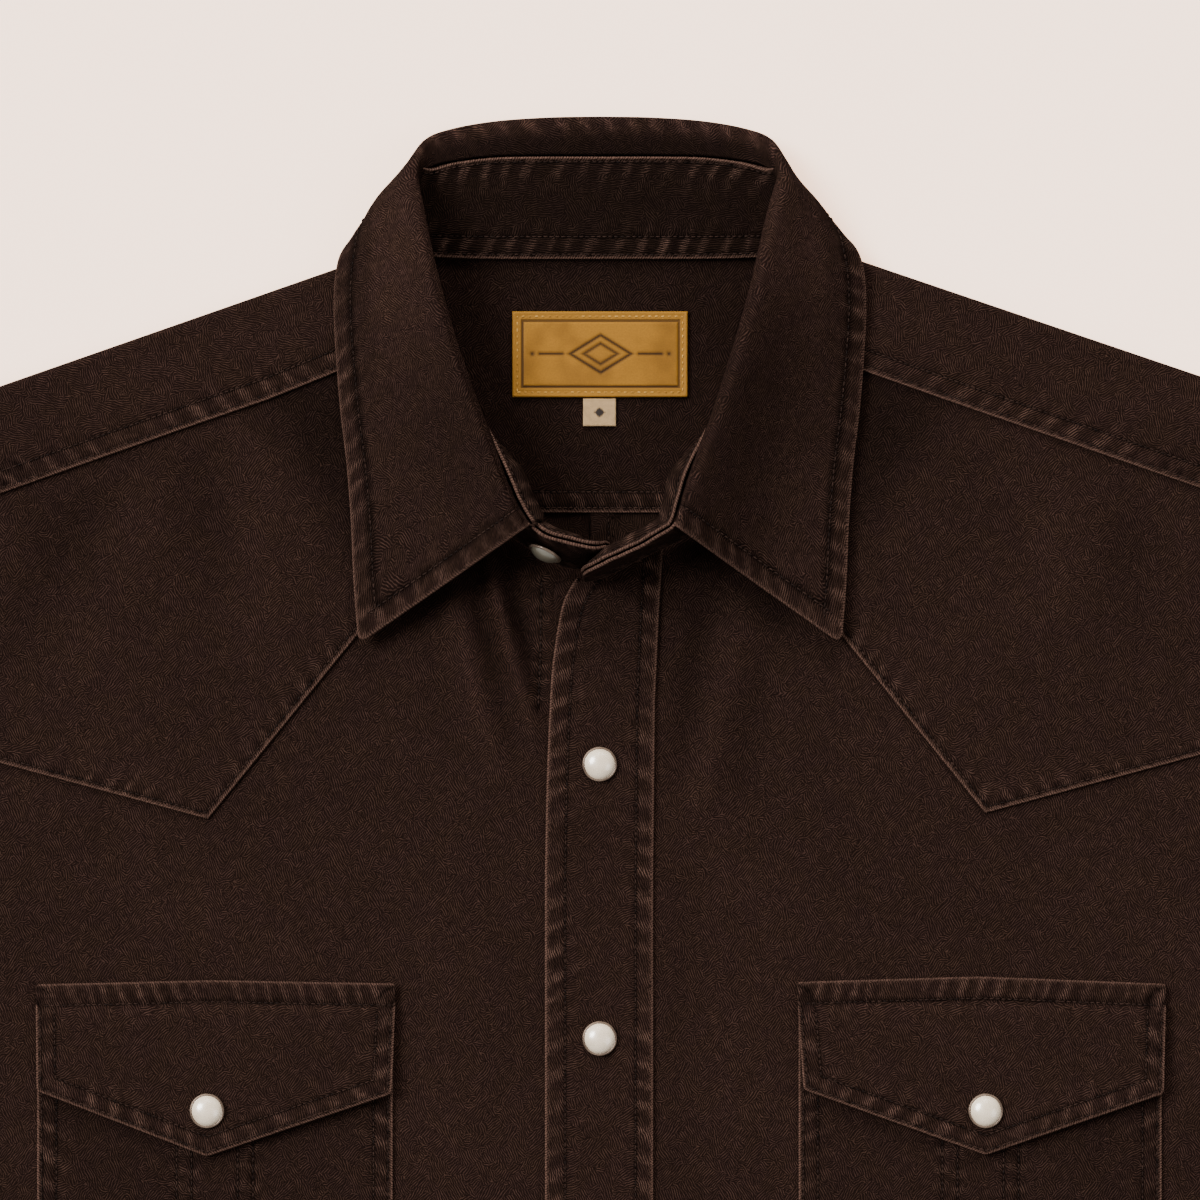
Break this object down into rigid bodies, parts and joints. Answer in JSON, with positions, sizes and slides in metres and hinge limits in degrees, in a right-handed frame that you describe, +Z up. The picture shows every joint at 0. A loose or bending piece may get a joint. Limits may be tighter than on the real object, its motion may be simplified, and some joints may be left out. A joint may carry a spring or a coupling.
{
  "type": "western snap shirt",
  "caption": "Dark brown long-sleeved western shirt laid flat, with pointed yokes, flap pockets, pearl snaps, an open turned-down collar and a leather patch inside the neck.",
  "frame": {"origin": "underside of the back panel on the surface the shirt lies on, on the centre line at the height of the underarms", "axes": "+X across the chest to the wearer's left, +Y up the body to the collar, +Z up off the surface"},
  "size_m": [1.284, 0.8078, 0.0339],
  "materials": {
    "twill": "dark brown washed cotton twill",
    "leather": "golden tan leather, matt",
    "tag": "cream woven tape",
    "pearl": "pearl cap in a thin metal rim"
  },
  "bodies": {
    "root": {"back": "twill", "back_yoke": "twill", "collar_leaf": "twill", "collar_stand": "twill", "cuff_left": "twill", "cuff_right": "twill", "flap_left": "twill", "flap_right": "twill", "front_left": "twill", "front_right": "twill", "front_yoke_left": "twill", "front_yoke_right": "twill", "neck_patch": "leather", "placket": "twill", "pocket_left": "twill", "pocket_right": "twill", "size_tag": "tag", "sleeve_left": "twill", "sleeve_right": "twill", "snap_cuff_left_1": "pearl", "snap_cuff_left_2": "pearl", "snap_cuff_right_1": "pearl", "snap_cuff_right_2": "pearl", "snap_flap_left": "pearl", "snap_flap_right": "pearl", "snap_front_1": "pearl", "snap_front_2": "pearl", "snap_front_3": "pearl", "snap_front_4": "pearl", "snap_front_5": "pearl", "snap_front_6": "pearl", "snap_stand": "pearl"}
  },
  "joints": []
}
